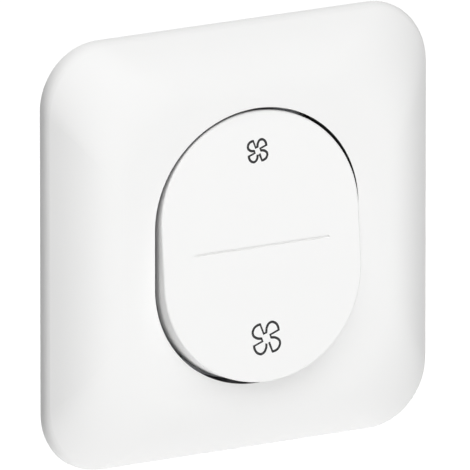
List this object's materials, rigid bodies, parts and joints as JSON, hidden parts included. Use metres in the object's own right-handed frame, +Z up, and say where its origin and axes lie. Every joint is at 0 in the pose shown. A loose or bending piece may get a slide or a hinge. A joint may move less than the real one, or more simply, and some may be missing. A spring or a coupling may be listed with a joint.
{
  "type": "two-position wall rocker switch",
  "caption": "White square wall switch with a domed plate and a large stadium-shaped rocker that tips between two fan speeds, on a steel frame with a box-shaped mechanism behind.",
  "frame": {"origin": "centre of the switch on the plane of the wall, midway between the fixing slots", "axes": "+Y into the wall, +Z up, +X to the right seen from the room; the front faces -Y"},
  "size_m": [0.085, 0.0358, 0.085],
  "materials": {
    "white_plastic": "smooth moulded white, soft gloss",
    "grey_plastic": "fine moulded texture",
    "natural_plastic": "plain moulded, slightly waxy",
    "zinc_steel": "zinc plated, satin",
    "spring_steel": "drawn wire",
    "brass": "rolled strip, satin",
    "contact_silver": "satin"
  },
  "bodies": {
    "housing": {"cover_plate": "white_plastic", "support_frame": "zinc_steel", "mechanism_base": "grey_plastic", "mechanism_cover": "grey_plastic", "fixed_contact_tips": "contact_silver", "common_terminal": "brass", "low_speed_terminal": "brass", "high_speed_terminal": "brass", "common_clamp": "zinc_steel", "low_speed_clamp": "zinc_steel", "high_speed_clamp": "zinc_steel", "common_screw": "zinc_steel", "low_speed_screw": "zinc_steel", "high_speed_screw": "zinc_steel"},
    "rocker": {"rocker_cap": "white_plastic", "rocker_actuator": "natural_plastic", "plunger_spring": "spring_steel"},
    "plunger": {"plunger": "natural_plastic"},
    "contact": {"contact_lever": "brass", "moving_contact_tips": "contact_silver"}
  },
  "joints": [
    {"name": "rocker_tilt", "type": "hinge", "parent": "housing", "child": "rocker", "pos_m": [0, -0.0075, 0], "axis": [1, 0, 0], "range_deg": [0, 10.6]},
    {"name": "contact_tilt", "type": "hinge", "parent": "housing", "child": "contact", "pos_m": [0, 0.005, 0], "axis": [1, 0, 0], "range_deg": [-15, 0]},
    {"name": "plunger_slide", "type": "slide", "parent": "rocker", "child": "plunger", "axis": [0, 0.9957, -0.0924], "range_m": [-0.0005, 0.0002], "stiffness_N_per_m": 500, "deforming": ["plunger_spring"]}
  ],
  "couplings": [
    {"joint": "contact_tilt", "follows": "rocker_tilt", "ratio": -1.415}
  ]
}
